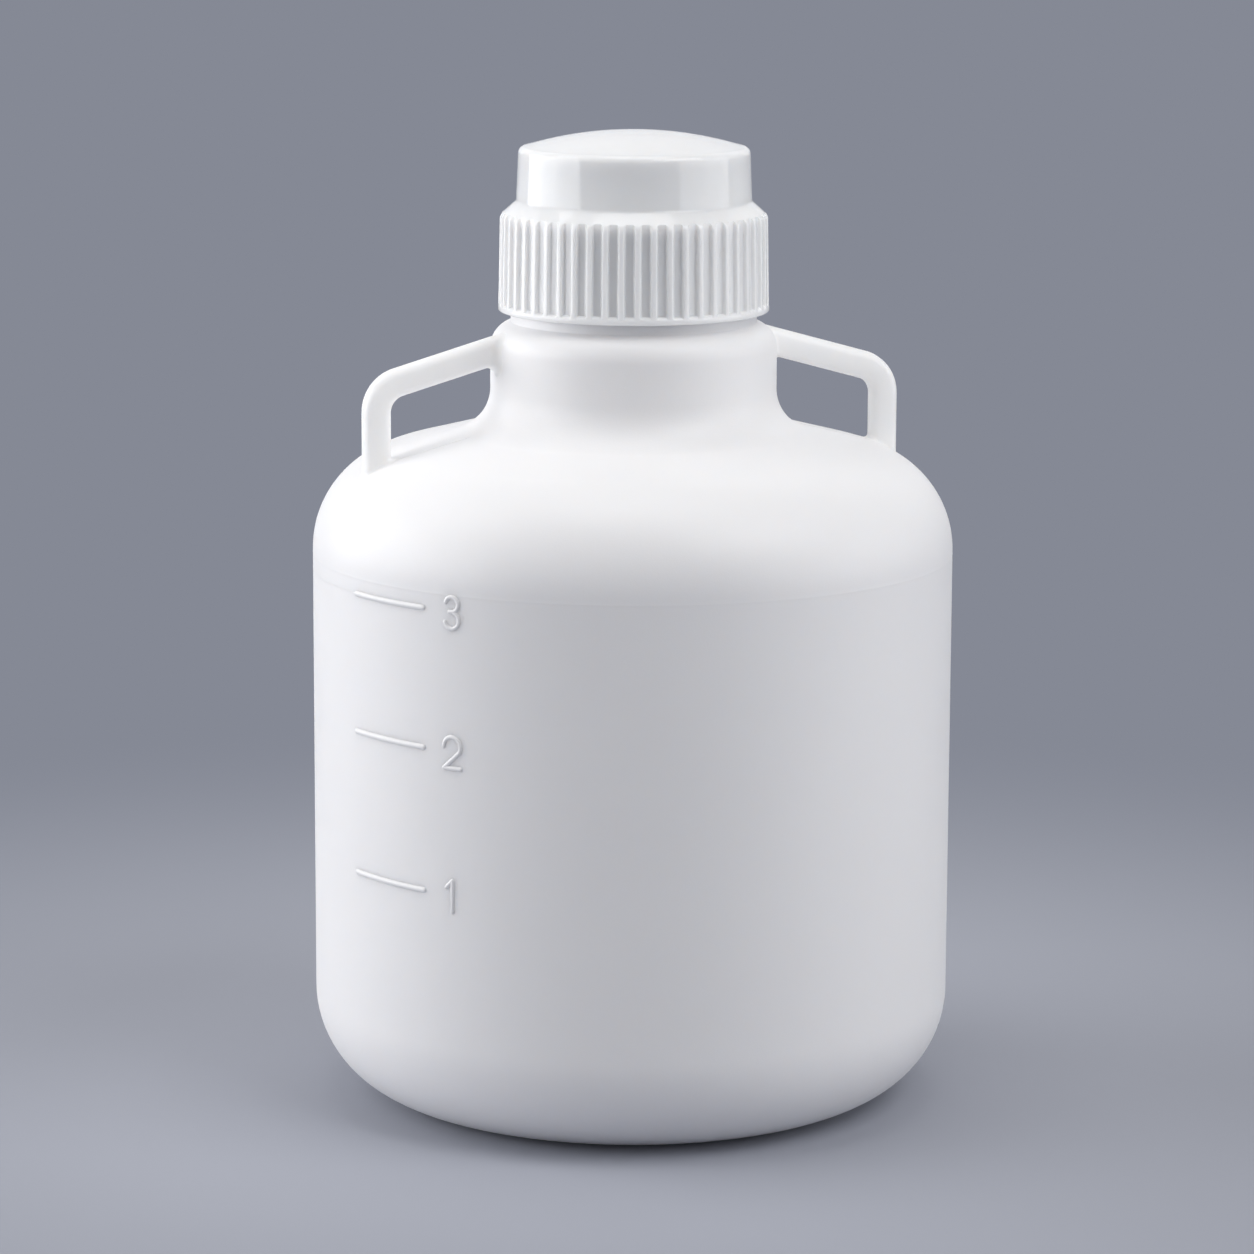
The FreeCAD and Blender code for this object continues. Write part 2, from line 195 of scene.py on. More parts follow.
bottle_plastic = plastic(
    "bottle plastic",
    white=(0.90, 0.895, 0.905), shade=(0.89, 0.885, 0.895),
    roughness=(0.40, 0.46), grain=0.00002, grain_size=0.00045,
    ripple=0.00012, ripple_size=0.05, glow=0.8, glow_depth=0.004)
body.data.materials.append(bottle_plastic)
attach(body, "root")
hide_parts("bottle")


# The lands. A low flat strip of the bottle's own plastic runs down the shoulder under each
# loop, from the collar's hollow to the upright, where the mould closed round the handle.
LAND_HEIGHT = 0.0001
LAND_DEPTH = 0.003
LAND_WIDTH = 0.0063
LAND_EDGE = 0.00008
LAND_LENGTH = 0.0215
LAND_STOPS_AT = 61  # degrees up from straight out, on the shoulder's round
NEAR = 1e-6

downwards = Vector((0, 0, -1))
land_slope = math.radians(SHOULDER_SLOPE)
land_turn = math.radians(90 - SHOULDER_SLOPE - LAND_STOPS_AT)
down_slope = Vector((math.cos(land_slope), 0, -math.sin(land_slope)))
up_from_slope = Vector((math.sin(land_slope), 0, math.cos(land_slope)))
shoulder_middle = Vector((SHOULDER_CENTRE[0], 0, SHOULDER_CENTRE[1]))
bend = shoulder_middle + up_from_slope * SHOULDER_RADIUS


def face_down(slope):
    """Tips the flat section up until it faces outwards and down by this slope."""
    quarter_turn = math.radians(90)
    bpy.ops.transform.rotate(
        value=-(quarter_turn + slope), orient_axis="Y", center_override=(0, 0, 0))


def push(way, distance):
    """Extrudes the selected end by a distance along a direction."""
    bpy.ops.mesh.extrude_region_move(TRANSFORM_OT_translate={"value": way * distance})


def bend_down(centre, angle, steps):
    """Takes the selected end round a centre, outwards and down, in even steps."""
    for _ in range(steps):
        push(downwards, 0)
        bpy.ops.transform.rotate(value=-angle / steps, orient_axis="Y", center_override=centre)


def above_shoulder(spot):
    """Whether a point stands clear of the shoulder's slope and of its round."""
    if spot.x < bend.x:
        return (spot - bend).dot(up_from_slope) > 0
    return math.hypot(spot.x - SHOULDER_CENTRE[0], spot.z - SHOULDER_CENTRE[1]) > SHOULDER_RADIUS


def opposite(name):
    """A copy of the piece just made, with its own mesh, on the bottle's other side."""
    bpy.ops.object.duplicate()
    copy = bpy.context.object
    copy.name = name
    copy.data.name = name
    copy.data.transform(Matrix.Rotation(math.pi, 4, "Z"))
    return copy


bpy.ops.object.select_all(action="DESELECT")
bpy.ops.mesh.primitive_plane_add(size=1)
right_land = start_piece("right_land")
bpy.ops.transform.resize(value=(LAND_DEPTH, LAND_WIDTH, 1))
bpy.ops.transform.translate(value=(LAND_DEPTH / 2 - LAND_HEIGHT, 0, 0))
face_down(land_slope)
bpy.ops.transform.translate(value=bend - down_slope * LAND_LENGTH)
push(down_slope, LAND_LENGTH)
bend_down(shoulder_middle, land_turn, steps=5)
bpy.ops.mesh.select_mode(type="EDGE")
bpy.ops.mesh.select_all(action="DESELECT")
mesh = bmesh.from_edit_mesh(right_land.data)
for edge in mesh.edges:
    (one, other) = edge.verts
    runs_along = abs(one.co.y - other.co.y) < NEAR
    edge.select_set(runs_along and above_shoulder(one.co) and above_shoulder(other.co))
bmesh.update_edit_mesh(right_land.data)
bpy.ops.mesh.bevel(offset=LAND_EDGE, segments=3, affect="EDGES")
close_piece(smooth_up_to=50)
right_land.data.materials.append(bottle_plastic)
left_land = opposite("left_land")


# The two handles. Solid polyethylene loops, moulded in one with the bottle: a bar that falls
# outwards from the collar's lip, a round corner and an upright that stands on the shoulder. A
# fine parting line runs along each loop, and its ends run out onto the skin in a small round.
LOOP_WIDTH = 0.00768
LOOP_THICKNESS = 0.0064
LOOP_EDGE = 0.0022
LOOP_DROP = 15.8  # degrees
LOOP_REACH = 0.0784
LOOP_TOP_AT_COLLAR = 0.2173
LOOP_CORNER = 0.0086
LOOP_BLEND = 0.0011
ROOT_BLEND = 0.0028
BLEND_STEPS = 8
RIM_SUNK = 0.0006
PARTING_PROUD = 0.00012
BAR_MIDDLE = 0.053  # where the loop is started, from the bottle's axis
BAR_MIDDLE_SPOT = 0.0001  # how near to there the loop's first face lies
BAR_MIDDLE_TO_ROOT = 0.0085
UPRIGHT_FOOT = 0.190  # height at which its blend is started
COLLAR_RADIUS = COLLAR_LIP_CENTRE[0] + COLLAR_LIP


def select_where(piece, wanted):
    """In edit mode, selects only the faces that pass a test."""
    mesh = bmesh.from_edit_mesh(piece.data)
    bpy.ops.mesh.select_all(action="DESELECT")
    for face in mesh.faces:
        face.select_set(wanted(face))
    mesh.select_flush(True)
    bmesh.update_edit_mesh(piece.data)


def first_hit(skins, start, way):
    """The nearest point that a line meets on any of the skins, and which way that skin faces."""
    hits = [skin.ray_cast(start, way) for skin in skins]
    return min((hit for hit in hits if hit[0]), key=lambda hit: hit[3])


def melt_into(piece, skins, way, radius):
    """Rolls the selected end out onto the skins in a round of this radius and sinks its rim."""
    def place_key(spot):
        """A point's place, rounded so that it can be looked up."""
        return tuple(round(part, 7) for part in spot)

    clear_of_skin = 0.002
    mesh = bmesh.from_edit_mesh(piece.data)
    plans = {}
    for vertex in mesh.verts:
        if not vertex.select:
            continue
        sideways = (vertex.normal - vertex.normal.dot(way) * way).normalized()
        (meeting, facing, _, _) = first_hit(skins, vertex.co, way)
        along_skin = (sideways - sideways.dot(facing) * facing).normalized()
        half_opening = (-way).angle(along_skin) / 2
        reach = radius / math.tan(half_opening)
        to_centre = (along_skin - way).normalized() * (radius / math.sin(half_opening))
        centre = meeting + to_centre
        first = (meeting - way * reach - centre) / radius
        last = (meeting + along_skin * reach - centre) / radius
        landing = centre + last * radius
        (on_skin, _, _, _) = first_hit(skins, landing + facing * clear_of_skin, -facing)
        plans[place_key(vertex.co)] = (centre, first, last, on_skin - landing, facing)
    for step in range(BLEND_STEPS + 2):
        bpy.ops.mesh.extrude_region_move(TRANSFORM_OT_translate={"value": (0, 0, 0)})
        mesh = bmesh.from_edit_mesh(piece.data)
        moved = {}
        for vertex in mesh.verts:
            if not vertex.select:
                continue
            plan = plans[place_key(vertex.co)]
            (centre, first, last, settle, facing) = plan
            share = min(step / BLEND_STEPS, 1)
            opening = first.angle(last)
            spoke = (first * math.sin((1 - share) * opening) + last * math.sin(share * opening))
            vertex.co = centre + spoke * (radius / math.sin(opening)) + settle * share ** 2
            if step > BLEND_STEPS:
                vertex.co -= facing * RIM_SUNK
            moved[place_key(vertex.co)] = plan
        plans = moved
        bmesh.update_edit_mesh(piece.data)


drop = math.radians(LOOP_DROP)
outwards = Vector((math.cos(drop), 0, -math.sin(drop)))
corner_x = LOOP_REACH - LOOP_WIDTH / 2 - LOOP_CORNER


def bar_height(x):
    """Height of the bar's centre line at a distance from the bottle's axis."""
    below_top = LOOP_WIDTH / 2 / math.cos(drop)
    return LOOP_TOP_AT_COLLAR - below_top - (x - COLLAR_RADIUS) * math.tan(drop)


corner_centre = Vector((corner_x, 0, bar_height(corner_x) - LOOP_CORNER / math.cos(drop)))
bar_end = corner_centre + Vector((math.sin(drop), 0, math.cos(drop))) * LOOP_CORNER
bar_middle = Vector((BAR_MIDDLE, 0, bar_height(BAR_MIDDLE)))

bpy.ops.object.select_all(action="DESELECT")
bpy.ops.mesh.primitive_plane_add(size=1)
right_handle = start_piece("right_handle")
bpy.ops.transform.resize(value=(LOOP_WIDTH, LOOP_THICKNESS, 1))
bpy.ops.mesh.bevel(offset=LOOP_EDGE, segments=7, affect="VERTICES")
for side in (1, -1):
    bpy.ops.mesh.select_all(action="DESELECT")
    bpy.ops.mesh.select_mode(type="EDGE")
    mesh = bmesh.from_edit_mesh(right_handle.data)
    for edge in mesh.edges:
        edge.select_set(all(abs(end.co.x * side - LOOP_WIDTH / 2) < NEAR for end in edge.verts))
    bmesh.update_edit_mesh(right_handle.data)
    bpy.ops.mesh.subdivide(number_cuts=5)
bpy.ops.mesh.select_mode(type="VERT")
mesh = bmesh.from_edit_mesh(right_handle.data)
for vertex in mesh.verts:
    vertex.select_set(abs(vertex.co.y) < NEAR)
bmesh.update_edit_mesh(right_handle.data)
parting_line = 1 + 2 * PARTING_PROUD / LOOP_WIDTH
bpy.ops.transform.resize(value=(parting_line, 1, 1), center_override=(0, 0, 0))
bpy.ops.mesh.select_mode(type="FACE")
bpy.ops.mesh.select_all(action="SELECT")
face_down(drop)
bpy.ops.transform.translate(value=bar_middle)
push(outwards, (bar_end - bar_middle).length)
bend_down(corner_centre, math.radians(90) - drop, steps=18)
shapes = bpy.context.evaluated_depsgraph_get()
body_skin = BVHTree.FromObject(body, shapes)
land_skin = BVHTree.FromObject(right_land, shapes)
push(downwards, corner_centre.z - UPRIGHT_FOOT)
melt_into(right_handle, [body_skin, land_skin], downwards, LOOP_BLEND)
select_where(
    right_handle,
    lambda face: (face.calc_center_median() - bar_middle).length < BAR_MIDDLE_SPOT)
push(-outwards, BAR_MIDDLE_TO_ROOT)
melt_into(right_handle, [body_skin], -outwards, ROOT_BLEND)
close_piece(smooth_up_to=35)
# The loops are the bottle's own plastic, but their white is painted lighter than the bottle's.
# This is painted light, standing in for the glow of light through the thin loops.
handle_plastic_painted_lighter = plastic(
    "handle plastic",
    white=(0.965, 0.965, 0.96), shade=(0.955, 0.955, 0.95),
    roughness=(0.36, 0.42), grain=0.00001, grain_size=0.0004,
    ripple=0.00005, ripple_size=0.02, glow=1.0, glow_depth=0.006)
right_handle.data.materials.append(handle_plastic_painted_lighter)
left_handle = opposite("left_handle")


def weld(whole, parts, smooth_up_to):
    """Joins parts into one solid with the whole, so that no wall is left between them."""
    bpy.ops.object.select_all(action="DESELECT")
    whole.select_set(True)
    bpy.context.view_layer.objects.active = whole
    for part in parts:
        bpy.ops.object.modifier_add(type="BOOLEAN")
        union = whole.modifiers[-1]
        union.operation = "UNION"
        union.solver = "MANIFOLD"
        union.material_mode = "TRANSFER"
        union.object = part
        bpy.ops.object.modifier_apply(modifier=union.name)
        bpy.data.objects.remove(part)
    bpy.ops.object.mode_set(mode="EDIT")
    close_piece(smooth_up_to)


weld(body, (right_land, left_land, right_handle, left_handle), smooth_up_to=40)


# The litre marks and their numerals. Round beads that stand proud of the wall, moulded with
# the bottle: one line for each litre, with its number beside it. The mould's plate for them has
# left a hair line on the wall, level with the top mark.
MARK_HEIGHTS = {1: 0.0733, 2: 0.1129, 3: 0.1511}
MARK_START = 195.2  # degrees round the bottle
MARK_END = 213.5
MARK_BEAD = 0.0009
MARK_SUNK = 0.00045
NUMERAL_MIDDLE = 219.65
NUMERAL_BEAD = 0.0007
NUMERAL_SUNK = 0.0003
NUMERAL_HALF_WIDTH = 0.0027
NUMERAL_HALF_HEIGHT = 0.0043
NUMERAL_DROP = 0.0004
ONE_FLAG = 0.45
TWO_BOWL_END = -35  # degrees
THREE_TAIL = 165  # degrees
THREE_UPPER = 0.47
THREE_WAIST = 0.35
WITNESS_START = 166  # degrees
WITNESS_BEAD = 0.00012
WITNESS_SUNK = 0.00008
BEAD_END = (20, 40, 60, 80)  # degrees round the end of a bead

mark_plastic = plastic(
    "mark plastic",
    white=(0.90, 0.895, 0.905), shade=(0.89, 0.885, 0.895),
    roughness=(0.36, 0.42), grain=0.000008, grain_size=0.0004,
    ripple=0.00002, ripple_size=0.02, glow=0.0, glow_depth=0.003)


def bead(name, strokes, thickness):
    """Lays a round bead with round ends along each stroke, a list of points in space."""
    def round_end(tip, beyond):
        """Points past a stroke's tip, each with its share of the bead's thickness."""
        end = []
        for degrees in BEAD_END:
            turn = math.radians(degrees)
            end.append((tip + beyond * thickness * math.sin(turn), math.cos(turn)))
        return end

    line = bpy.data.curves.new(name, "CURVE")
    line.dimensions = "3D"
    line.bevel_depth = thickness
    line.bevel_resolution = 4
    line.use_fill_caps = True
    for stroke in strokes:
        spots = [Vector(spot) for spot in stroke]
        points = round_end(spots[0], (spots[0] - spots[1]).normalized())
        points.reverse()
        points.extend((spot, 1.0) for spot in spots)
        points.extend(round_end(spots[-1], (spots[-1] - spots[-2]).normalized()))
        spline = line.splines.new("POLY")
        spline.points.add(len(points) - 1)
        for (point, (spot, width)) in zip(spline.points, points):
            point.co = (*spot, 1)
            point.radius = width
    drawn = bpy.data.objects.new(name, line)
    bpy.context.scene.collection.objects.link(drawn)
    bpy.ops.object.select_all(action="DESELECT")
    drawn.select_set(True)
    bpy.context.view_layer.objects.active = drawn
    bpy.ops.object.convert(target="MESH")
    piece = bpy.context.object
    bpy.ops.object.mode_set(mode="EDIT")
    bpy.ops.mesh.select_all(action="SELECT")
    bpy.ops.mesh.remove_doubles(threshold=0.000001)
    close_piece(smooth_up_to=60)
    piece.data.materials.append(mark_plastic)
    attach(piece, "root")


def on_wall(degrees, radius, height):
    """A point at a turn round the bottle, a radius and a height."""
    turn = math.radians(degrees)
    return (radius * math.cos(turn), radius * math.sin(turn), height)


def level_line(from_turn, to_turn, radius, height, steps):
    """Points of a level line round the wall between two turns."""
    turns = [from_turn + (to_turn - from_turn) * step / steps for step in range(steps + 1)]
    return [on_wall(turn, radius, height) for turn in turns]


def numeral_strokes(number):
    """A numeral's strokes as flat (across, up) points about its middle."""
    (half, top) = (NUMERAL_HALF_WIDTH, NUMERAL_HALF_HEIGHT)
    if number == 1:
        flag = ONE_FLAG * top
        return [[(0, -top), (0, top)], [(0, top), (-flag, top - flag)]]
    if number == 2:
        bowl = arc((0, top - half), half, 180, TWO_BOWL_END, steps=20)
        return [bowl + [(-half, -top)], [(-half, -top), (half, -top)]]
    upper = THREE_UPPER * top
    lower = top - upper
    waist = (-THREE_WAIST * upper, top - 2 * upper)
    return [arc((0, top - upper), upper, THREE_TAIL, -90, steps=20) + [waist],
            arc((0, lower - top), lower, 90, -THREE_TAIL, steps=22)]


for (litre, height) in MARK_HEIGHTS.items():
    mark = level_line(MARK_START, MARK_END, BODY_RADIUS - MARK_SUNK, height, steps=24)
    bead(f"litre_mark_{litre}", [mark], MARK_BEAD)
    strokes = []
    for flat_stroke in numeral_strokes(litre):
        strokes.append([
            on_wall(
                NUMERAL_MIDDLE + math.degrees(across / BODY_RADIUS),
                BODY_RADIUS - NUMERAL_SUNK,
                height - NUMERAL_DROP + up)
            for (across, up) in flat_stroke])
    bead(f"numeral_{litre}", strokes, NUMERAL_BEAD)
witness = level_line(
    WITNESS_START, MARK_START, BODY_RADIUS - WITNESS_SUNK, MARK_HEIGHTS[3], steps=36)
bead("witness_line", [witness], WITNESS_BEAD)


# The cap. A screw cap moulded in one from a glossier white plastic: a thin flange, a skirt with
# grip ribs, a sloping ledge, a plain crown and a low dome. It screws down onto the neck and
# stands on the bottle's spout.
SPOUT_BORE = 0.03025
CEILING_DISC = 0.0302  # the cap's ceiling, which rests on the spout
NECK_BORE = 0.03475
BORE_STEP = 0.24755
FLANGE_RADIUS = 0.0379
FLANGE_BOTTOM = 0.2232
FLANGE_LIP = 0.00045
FLANGE_TOP = 0.2241
SKIRT_FOOT = 0.2253
SKIRT_RADIUS = 0.0378
SKIRT_TOP = 0.2486
SKIRT_DRAFT = math.tan(math.radians(1.0))
SKIRT_EDGE = 0.0025
SHELL_RADIUS = 0.0360
SHELL_FOOT = 0.2246
SHELL_FOOT_SLOPE = (0.0374, 0.2242)
SHELL_EDGE = 0.0004
LEDGE_SLOPE = 42  # degrees
GROOVE_DEPTH = 0.00105
CROWN_FOOT = (0.03285, 0.2538)
CROWN_FOOT_RUN = 0.0005
CROWN_FOOT_HOLLOW = 0.00012
CROWN_FOOT_RISE = 0.0004
CROWN_TOP = (0.03235, 0.26686)
CROWN_EDGE = 0.0020
CROWN_EDGE_START = 2  # degrees, as are the three that follow
CROWN_EDGE_END = 82
DOME_EDGE_GAP = 0.5
DOME_END = 89.9
DOME_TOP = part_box("cap")[1][2]

dome_foot = (CROWN_TOP[0] - CROWN_EDGE, CROWN_TOP[1] + CROWN_EDGE)
dome_rise = DOME_TOP - dome_foot[1]
dome_radius = (dome_foot[0] ** 2 + dome_rise ** 2) / (2 * dome_rise)
dome_angle = math.degrees(math.asin(dome_foot[0] / dome_radius))
skirt_top_radius = SKIRT_RADIUS - (SKIRT_TOP - SKIRT_FOOT) * SKIRT_DRAFT
skirt_edge_centre = (skirt_top_radius - SKIRT_EDGE, SKIRT_TOP)
edge_end = arc(skirt_edge_centre, SKIRT_EDGE, 0, 90 - LEDGE_SLOPE, steps=1)[-1]
floor_radius = skirt_top_radius - GROOVE_DEPTH
ledge = math.tan(math.radians(LEDGE_SLOPE))
groove_top = edge_end[1] + (edge_end[0] - floor_radius) * ledge

flange_lip_centre = (FLANGE_RADIUS - FLANGE_LIP, FLANGE_BOTTOM + FLANGE_LIP)
crown_edge_centre = (CROWN_TOP[0] - CROWN_EDGE, CROWN_TOP[1])
dome_centre = (0, DOME_TOP - dome_radius)
cap_outline = [
    (CEILING_DISC, SPOUT_TOP),
    (SPOUT_BORE, SPOUT_TOP),
    (SPOUT_BORE, BORE_STEP),
    (NECK_BORE, BORE_STEP),
    (NECK_BORE, FLANGE_BOTTOM),
    *arc(flange_lip_centre, FLANGE_LIP, -90, 0, steps=5),
    (FLANGE_RADIUS, FLANGE_TOP),
    SHELL_FOOT_SLOPE,
    (SHELL_RADIUS, SHELL_FOOT),
    (SHELL_RADIUS, groove_top - SHELL_EDGE),
    (floor_radius, groove_top),
    (CROWN_FOOT[0] + CROWN_FOOT_RUN, CROWN_FOOT[1] - CROWN_FOOT_RUN * ledge),
    (CROWN_FOOT[0] + CROWN_FOOT_HOLLOW, CROWN_FOOT[1]),
    (CROWN_FOOT[0], CROWN_FOOT[1] + CROWN_FOOT_RISE),
    *arc(crown_edge_centre, CROWN_EDGE, CROWN_EDGE_START, CROWN_EDGE_END, steps=14),
    *arc(dome_centre, dome_radius, 90 - dome_angle + DOME_EDGE_GAP, DOME_END, steps=24),
]
cap = turn_up("cap_shell", cap_outline)
close_piece(smooth_up_to=28)

# The skirt's ribs: one rib with half a groove on each side, repeated all round. A rib has a
# narrow rounded front, and the grooves end in a small arch under the ledge. A rib's profile
# gives half of it as (distance from its middle, share of the groove's depth).
RIB_COUNT = 52
CAP_TURN = 1.0  # degrees, how far the cap happens to be screwed round
RIB_PROFILE = [
    (0.0, 1.0), (0.00042, 1.0), (0.00062, 0.952), (0.00074, 0.857), (0.00080, 0.667),
    (0.00095, 0.238), (0.00107, 0.076), (0.00125, 0.0), (0.0017, 0.0)]
RIB_INSET = 0.0004  # a rib's widths are true this far inside the skirt's outside
RIB_FOOT = 0.2246
RIB_FOOT_RISE = 0.0005
ARCH_RADIUS = 0.0008
ARCH_FULL_AT = 0.0006  # distance from a rib's middle
ARCH_LIMIT = 0.97  # share of the way to the groove's middle
FLANGE_SLOPE = ((0.2251, 0.0375), (0.2246, 0.03785), (0.2242, FLANGE_RADIUS))  # (height, radius)
GROOVE_FOOT = 0.2255
BACK_RADIUS = 0.0358  # the skirt's back, which is inside the shell
BACK_FOOT_UP = 0.0001
BACK_TOP_DOWN = 0.0003

# Heights of the rows of a rib's grid, close together where its shape turns.
FOOT_ROWS = (FLANGE_TOP, 0.2243, 0.2246, 0.22475, 0.2249, 0.2251, 0.22525, 0.2254, GROOVE_FOOT)
WALL_ROWS = (0.2258, 0.2264, 0.231, 0.237, 0.243, 0.247, SKIRT_TOP)
ARCH_ROWS = (0.2490, 0.2493, 0.2496, 0.2499, 0.2501, 0.2503, 0.25045, 0.2506)

pitch = math.radians(360 / RIB_COUNT)
rib_radius = skirt_top_radius - RIB_INSET
half_pitch = pitch / 2 * rib_radius
skirt_rows = [*FOOT_ROWS, *WALL_ROWS, *ARCH_ROWS, groove_top]
half_rib = [*RIB_PROFILE, (half_pitch, 0.0)]
whole_rib = [(-across, share) for (across, share) in reversed(half_rib[1:])] + half_rib


def skirt_outside(height):
    """Radius of the skirt's outside, over the ribs, at a height."""
    if height < SKIRT_TOP:
        return SKIRT_RADIUS - (height - SKIRT_FOOT) * SKIRT_DRAFT
    if height < edge_end[1]:
        return skirt_edge_centre[0] + math.sqrt(SKIRT_EDGE ** 2 - (height - SKIRT_TOP) ** 2)
    return edge_end[0] - (height - edge_end[1]) / ledge


def groove_floor(height):
    """Radius at the bottom of a groove, with the flange's sloping top at its foot."""
    wall = floor_radius + (SKIRT_TOP - min(height, SKIRT_TOP)) * SKIRT_DRAFT
    (above, narrow) = (GROOVE_FOOT, wall)
    if height >= above:
        return wall
    for (below, wide) in FLANGE_SLOPE:
        if height >= below:
            return narrow + (wide - narrow) * (above - height) / (above - below)
        (above, narrow) = (below, wide)
    return narrow


def arched(across, height):
    """Where a point of the profile lies across, once the ribs spread under the ledge."""
    rise = max(height - (groove_top - ARCH_RADIUS), 0)
    widen = ARCH_RADIUS - math.sqrt(max(ARCH_RADIUS ** 2 - rise ** 2, 0))
    spread = widen * min(abs(across) / ARCH_FULL_AT, 1)
    limit = half_pitch * ARCH_LIMIT
    return max(min(across + math.copysign(spread, across), limit), -limit)


bpy.ops.object.select_all(action="DESELECT")
bpy.ops.mesh.primitive_grid_add(
    x_subdivisions=len(whole_rib) - 1, y_subdivisions=len(skirt_rows) + 1, size=2)
rib = bpy.context.object
across_steps = sorted(set(round(vertex.co.x, 5) for vertex in rib.data.vertices))
up_steps = sorted(set(round(vertex.co.y, 5) for vertex in rib.data.vertices))
for vertex in rib.data.vertices:
    column = across_steps.index(round(vertex.co.x, 5))
    row = up_steps.index(round(vertex.co.y, 5)) - 1
    height = skirt_rows[min(max(row, 0), len(skirt_rows) - 1)]
    (across, share) = whole_rib[column]
    if abs(across) < half_pitch:
        across = arched(across, height)
    if row < 0:
        (radius, height) = (BACK_RADIUS, height + BACK_FOOT_UP)
    elif row >= len(skirt_rows):
        (radius, height) = (BACK_RADIUS, height - BACK_TOP_DOWN)
    else:
        foot = min(max((height - RIB_FOOT) / RIB_FOOT_RISE, 0), 1)
        floor_here = groove_floor(height)
        depth_here = max(skirt_outside(height) - floor_here, 0)
        radius = floor_here + depth_here * share * math.sin(foot * math.pi / 2)
    turn = across / rib_radius
    vertex.co = (radius * math.cos(turn), radius * math.sin(turn), height)
rib.data.transform(Matrix.Rotation(math.radians(CAP_TURN) + pitch / 2, 4, "Z"))
ribs = [rib]
for number in range(1, RIB_COUNT):
    copy = rib.copy()
    copy.data = rib.data.copy()
    copy.data.transform(Matrix.Rotation(pitch * number, 4, "Z"))
    bpy.context.scene.collection.objects.link(copy)
    ribs.append(copy)
bpy.ops.object.select_all(action="DESELECT")
for part in ribs:
    part.select_set(True)
bpy.context.view_layer.objects.active = rib
bpy.ops.object.join()
skirt = start_piece("skirt")
bpy.ops.mesh.remove_doubles(threshold=0.000003)
bpy.ops.mesh.select_mode(type="EDGE")
bpy.ops.mesh.select_all(action="DESELECT")
bpy.ops.mesh.select_non_manifold()
bpy.ops.mesh.bridge_edge_loops()
close_piece(smooth_up_to=40)
weld(cap, (skirt,), smooth_up_to=36)
cap.name = "screw_cap"
cap.data.name = "screw_cap"

cap_plastic = plastic(
    "cap plastic",
    white=(0.92, 0.92, 0.925), shade=(0.91, 0.91, 0.915),
    roughness=(0.06, 0.10), grain=0.000004, grain_size=0.0003,
    ripple=0.00002, ripple_size=0.02, glow=1.0, glow_depth=0.004)
cap.data.materials.clear()  # the weld has left an empty place for one
cap.data.materials.append(cap_plastic)
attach(cap, "root")
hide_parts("cap")


# The studio. A plain floor of pale grey paper that runs out of the lamps' light into an even
# grey all round. The lamps light the bottle, and the grey is only what is seen beyond it.
BACKDROP = (0.235, 0.25, 0.30, 1)
PAPER = (0.378, 0.392, 0.447, 1)
FLOOR_SIZE = 12
FADE_FROM = 0.10  # distances from the bottle's axis
FADE_TO = 0.52
AIR = (0.97, 0.97, 1.0, 1)
AIR_STRENGTH = 0.09


def worked_out(tree, operation, first, second):
    """The sum or the product of two numbers in a material, held between nought and one."""
    node = tree.nodes.new("ShaderNodeMath")
    node.operation = operation
    node.use_clamp = True
    tree.links.new(first, node.inputs[0])
    tree.links.new(second, node.inputs[1])
    return node.outputs["Value"]


def seen_directly(tree):
    """One for what is seen, straight or in a shiny surface, and nothing for the light given."""
    path = tree.nodes.new("ShaderNodeLightPath").outputs
    shiny = worked_out(tree, "ADD", path["Is Glossy Ray"], path["Is Transmission Ray"])
    return worked_out(tree, "ADD", path["Is Camera Ray"], shiny)


def blend_over(tree, share, near, far, surface):
    """Shows the far shader over the near one by this share."""
    blend = tree.nodes.new("ShaderNodeMixShader")
    tree.links.new(share, blend.inputs["Fac"])
    tree.links.new(near, blend.inputs[1])
    tree.links.new(far, blend.inputs[2])
    tree.links.new(blend.outputs["Shader"], surface)


bpy.ops.object.select_all(action="DESELECT")
bpy.ops.mesh.primitive_plane_add(size=FLOOR_SIZE)
floor = bpy.context.object
floor.name = "studio_floor"
floor.data.name = "studio_floor"
paper = bpy.data.materials.new("studio paper")
paper.use_nodes = True
tree = paper.node_tree
sheet = tree.nodes["Principled BSDF"]
sheet.inputs["Base Color"].default_value = PAPER
sheet.inputs["Roughness"].default_value = 0.9
sheet.inputs["Specular IOR Level"].default_value = 0.1
place = tree.nodes.new("ShaderNodeTexCoord")
away = tree.nodes.new("ShaderNodeVectorMath")
away.operation = "LENGTH"
tree.links.new(place.outputs["Object"], away.inputs[0])
fade = tree.nodes.new("ShaderNodeMapRange")
fade.interpolation_type = "SMOOTHSTEP"
fade.inputs["From Min"].default_value = FADE_FROM
fade.inputs["From Max"].default_value = FADE_TO
tree.links.new(away.outputs["Value"], fade.inputs["Value"])
share = worked_out(tree, "MULTIPLY", fade.outputs["Result"], seen_directly(tree))
grey = tree.nodes.new("ShaderNodeEmission")
grey.inputs["Color"].default_value = BACKDROP
surface = tree.nodes["Material Output"].inputs["Surface"]
blend_over(tree, share, sheet.outputs["BSDF"], grey.outputs["Emission"], surface)
floor.data.materials.append(paper)

world = bpy.data.worlds.new("studio air")
bpy.context.scene.world = world
world.use_nodes = True
tree = world.node_tree
air = tree.nodes["Background"]
air.inputs["Color"].default_value = AIR
air.inputs["Strength"].default_value = AIR_STRENGTH
grey = tree.nodes.new("ShaderNodeBackground")
grey.inputs["Color"].default_value = BACKDROP
surface = tree.nodes["World Output"].inputs["Surface"]
blend_over(
    tree, seen_directly(tree), air.outputs["Background"], grey.outputs["Background"], surface)


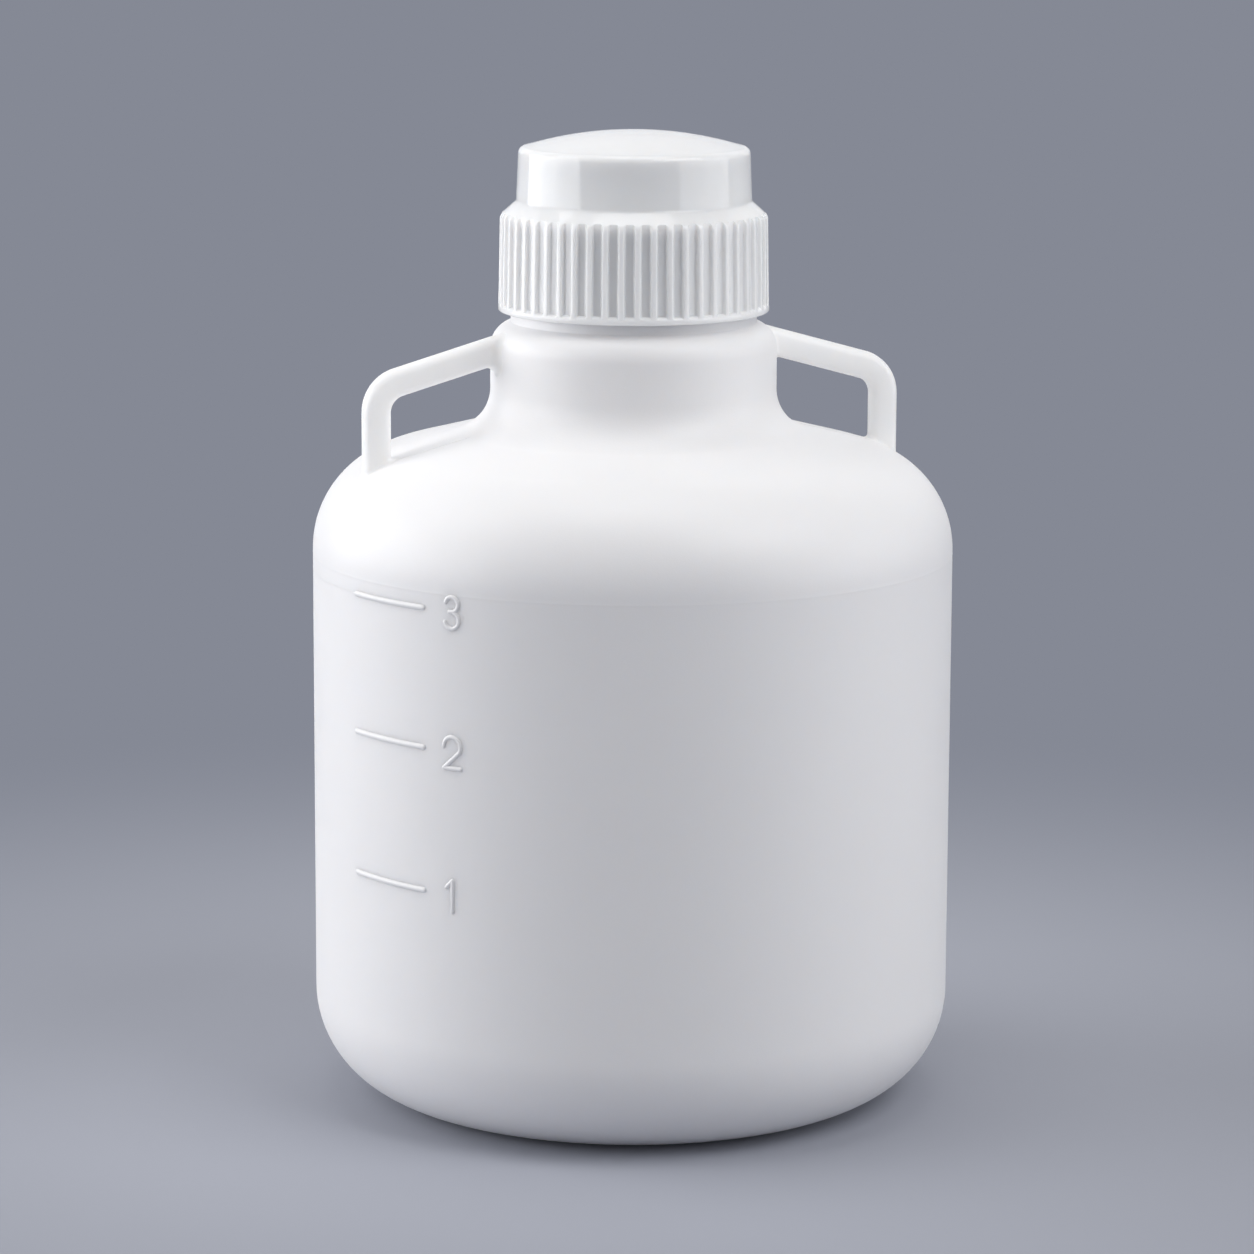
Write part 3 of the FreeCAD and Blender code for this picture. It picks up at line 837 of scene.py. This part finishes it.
# The camera stands well back and a little above the bottle, with a long lens. The lamps are
# softboxes round the bottle, all at one distance and facing the middle of it.
CAMERA_TURN = -17.9  # degrees, as are its pitch, yaw and roll
CAMERA_DISTANCE = 1.36543
CAMERA_HEIGHT = 0.3875
CAMERA_PITCH = 10.5605
CAMERA_YAW = 0.064
CAMERA_ROLL = 0.228
LENS = 140.96
LAMP_DISTANCE = 1.6
LAMPS_FACE = Vector((0, 0, 0.15))

camera_data = bpy.data.cameras.new("studio camera")
camera_data.lens = LENS
camera_data.sensor_width = 36
camera_data.clip_start = 0.01
camera = bpy.data.objects.new("studio camera", camera_data)
bpy.context.scene.collection.objects.link(camera)
camera_turn = math.radians(CAMERA_TURN)
stand = Vector((
    CAMERA_DISTANCE * math.sin(camera_turn),
    -CAMERA_DISTANCE * math.cos(camera_turn),
    CAMERA_HEIGHT))
aim = (Matrix.Rotation(camera_turn + math.radians(CAMERA_YAW), 4, "Z")
       @ Matrix.Rotation(math.radians(90 - CAMERA_PITCH), 4, "X")
       @ Matrix.Rotation(math.radians(CAMERA_ROLL), 4, "Z"))
camera.matrix_world = Matrix.Translation(stand) @ aim
bpy.context.scene.camera = camera


def softbox(name, round_to, up, width, tall, brightness):
    """A lamp box at angles round from the camera, right positive, and up from level."""
    turn = camera_turn + math.radians(round_to)
    rise = math.radians(up)
    lamp = bpy.data.lights.new(name, "AREA")
    lamp.shape = "RECTANGLE"
    lamp.size = width
    lamp.size_y = tall
    lamp.energy = math.pi * width * tall * brightness
    lamp_box = bpy.data.objects.new(name, lamp)
    level = math.cos(rise)
    away = Vector((level * math.sin(turn), -level * math.cos(turn), math.sin(rise)))
    facing = away.to_track_quat("Z", "Y").to_matrix().to_4x4()
    lamp_box.matrix_world = Matrix.Translation(LAMPS_FACE + away * LAMP_DISTANCE) @ facing
    bpy.context.scene.collection.objects.link(lamp_box)


softbox("left key", round_to=-105, up=12, width=1.2, tall=1.0, brightness=3.4)
softbox("left fill", round_to=-70, up=12, width=0.9, tall=1.0, brightness=3.1)
softbox("right fill", round_to=75, up=12, width=1.8, tall=1.0, brightness=1.6)
softbox("high left", round_to=-90, up=48, width=0.9, tall=0.8, brightness=1.9)
softbox("high right", round_to=55, up=48, width=1.1, tall=0.8, brightness=3.7)
softbox("high back", round_to=180, up=30, width=2.4, tall=1.5, brightness=0.5)
softbox("top", round_to=0, up=88, width=1.0, tall=1.0, brightness=2.2)

view = bpy.context.scene.view_settings
view.view_transform = "Standard"
